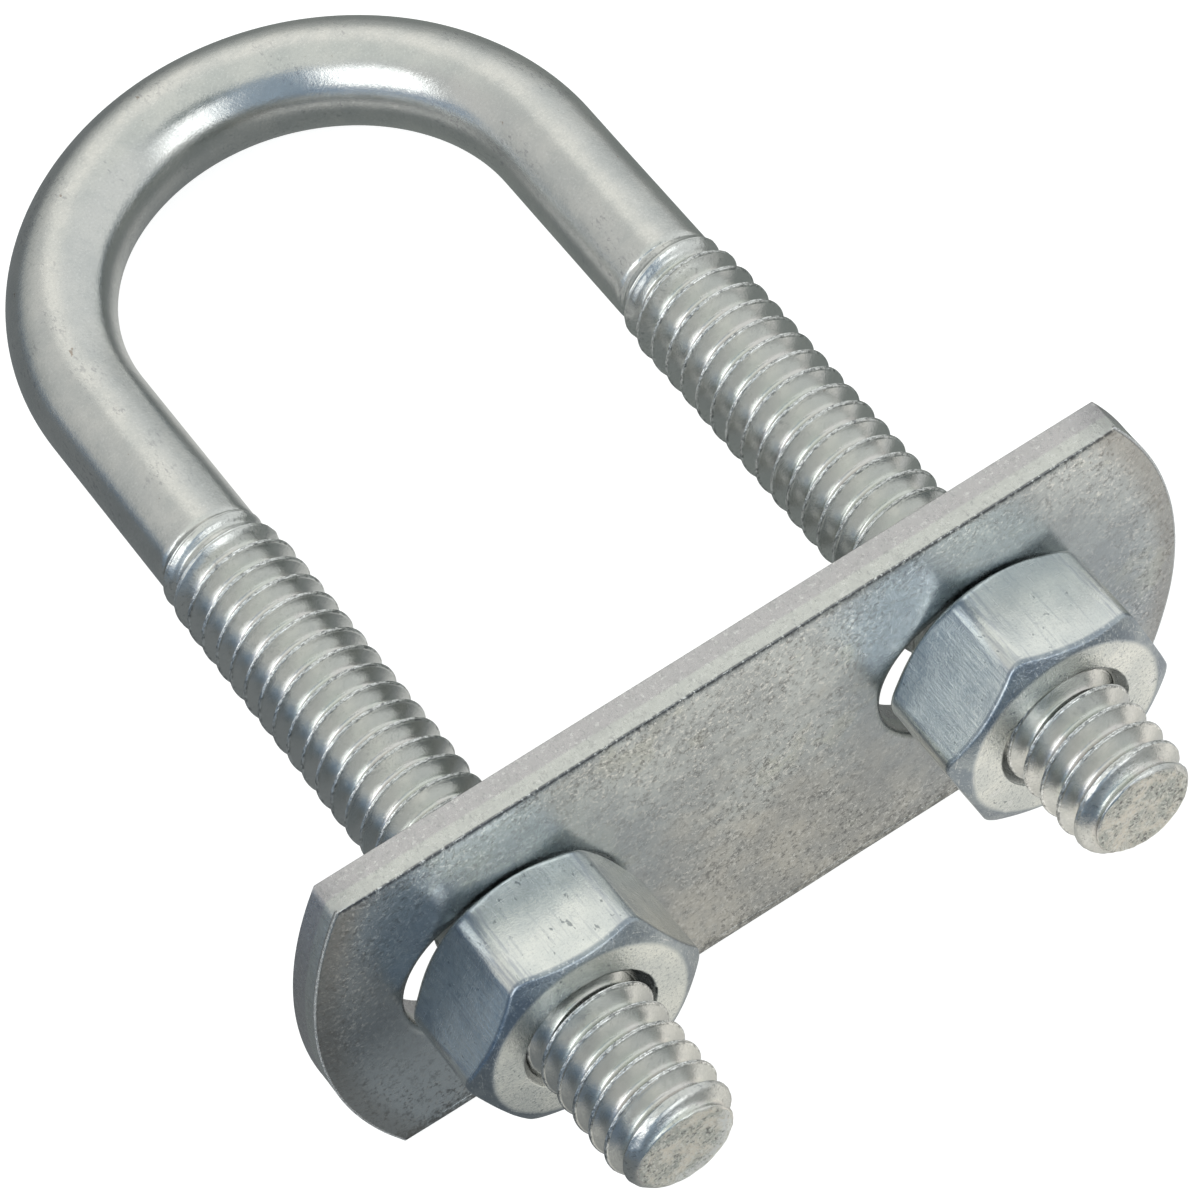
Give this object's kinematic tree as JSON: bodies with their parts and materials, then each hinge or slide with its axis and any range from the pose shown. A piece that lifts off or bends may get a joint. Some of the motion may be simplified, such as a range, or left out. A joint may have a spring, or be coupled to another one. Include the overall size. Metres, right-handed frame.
{
  "type": "u-bolt clamp",
  "caption": "U-bolt clamp: a round rod bent to a U with threaded legs, a slotted flat plate across the legs, and hex nuts that screw along the threads and draw the plate towards the bend.",
  "frame": {"origin": "centre of the clamp plate's face that looks towards the bend", "axes": "+Y along the threaded legs towards the bend, +X along the plate from the longer leg to the shorter leg, +Z across the plate's width; the U lies in the plane Z = 0"},
  "size_m": [0.047, 0.0666, 0.0198],
  "materials": {
    "rod_zinc": "bright zinc plate on a smooth drawn rod, faintly mottled",
    "plate_zinc": "zinc plate on a punched strip, satin and mottled with a grey grain",
    "nut_zinc": "bright zinc plate with a bluish cast and fine handling scratches"
  },
  "bodies": {
    "u_bolt": {"u_bolt": "rod_zinc"},
    "clamp_plate": {"clamp_plate": "plate_zinc"},
    "left_nut": {"left_nut": "nut_zinc"},
    "right_nut": {"right_nut": "nut_zinc"}
  },
  "joints": [
    {"name": "clamp_travel", "type": "slide", "parent": "u_bolt", "child": "clamp_plate", "axis": [0, 1, 0], "range_m": [-0.00571, 0.0254]},
    {"name": "left_nut_spin", "type": "hinge", "parent": "clamp_plate", "child": "left_nut", "pos_m": [-0.01295, -0.00497, 0], "axis": [0, 1, 0], "range_deg": [-1620, 7200]},
    {"name": "right_nut_spin", "type": "hinge", "parent": "clamp_plate", "child": "right_nut", "pos_m": [0.01295, -0.00497, 0], "axis": [0, 1, 0], "range_deg": [-1620, 7200]}
  ],
  "couplings": [
    {"joint": "left_nut_spin", "follows": "clamp_travel", "rad_per_m": 4947.4},
    {"joint": "right_nut_spin", "follows": "clamp_travel", "rad_per_m": 4947.4}
  ]
}
